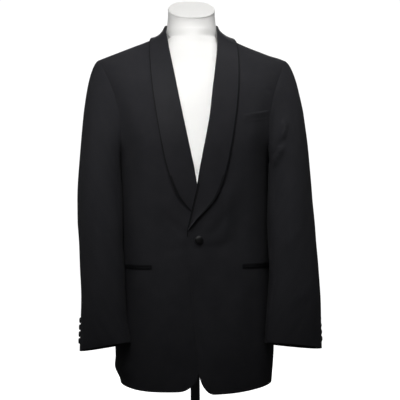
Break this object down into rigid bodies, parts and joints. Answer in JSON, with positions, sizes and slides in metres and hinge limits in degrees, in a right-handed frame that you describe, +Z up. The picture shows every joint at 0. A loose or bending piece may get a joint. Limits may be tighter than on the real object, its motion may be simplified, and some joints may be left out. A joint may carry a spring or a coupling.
{
  "type": "tuxedo jacket on a dress form",
  "caption": "Black shawl-collar tuxedo jacket, worn shape and hollow, standing on a white limbless dress form with a pole and round base.",
  "frame": {"origin": "centre of the underside of the stand's round base", "axes": "+Z up; the front of the jacket faces -Y; +X is towards the wearer's left sleeve"},
  "size_m": [0.547, 0.3276, 1.0473],
  "materials": {
    "wool": "matt black barathea wool, finely woven",
    "satin": "black satin with a soft sheen",
    "button_resin": "polished black resin",
    "form_shell": "smooth white moulded shell, soft gloss",
    "stand_metal": "black painted steel, satin gloss"
  },
  "bodies": {
    "root": {"front_left": "wool", "front_right": "wool", "side_left": "wool", "side_right": "wool", "back_left": "wool", "back_right": "wool", "top_sleeve_left": "wool", "under_sleeve_left": "wool", "top_sleeve_right": "wool", "under_sleeve_right": "wool", "collar_left": "satin", "collar_right": "satin", "breast_welt": "wool", "jet_upper_left": "satin", "jet_lower_left": "satin", "jet_upper_right": "satin", "jet_lower_right": "satin", "button_front": "satin", "cuff_button_left_1": "button_resin", "cuff_button_left_2": "button_resin", "cuff_button_left_3": "button_resin", "cuff_button_left_4": "button_resin", "cuff_button_right_1": "button_resin", "cuff_button_right_2": "button_resin", "cuff_button_right_3": "button_resin", "cuff_button_right_4": "button_resin", "form_body": "form_shell", "form_cap": "form_shell", "form_flange": "stand_metal", "stand_pole": "stand_metal", "stand_socket": "stand_metal", "stand_base": "stand_metal"}
  },
  "joints": []
}
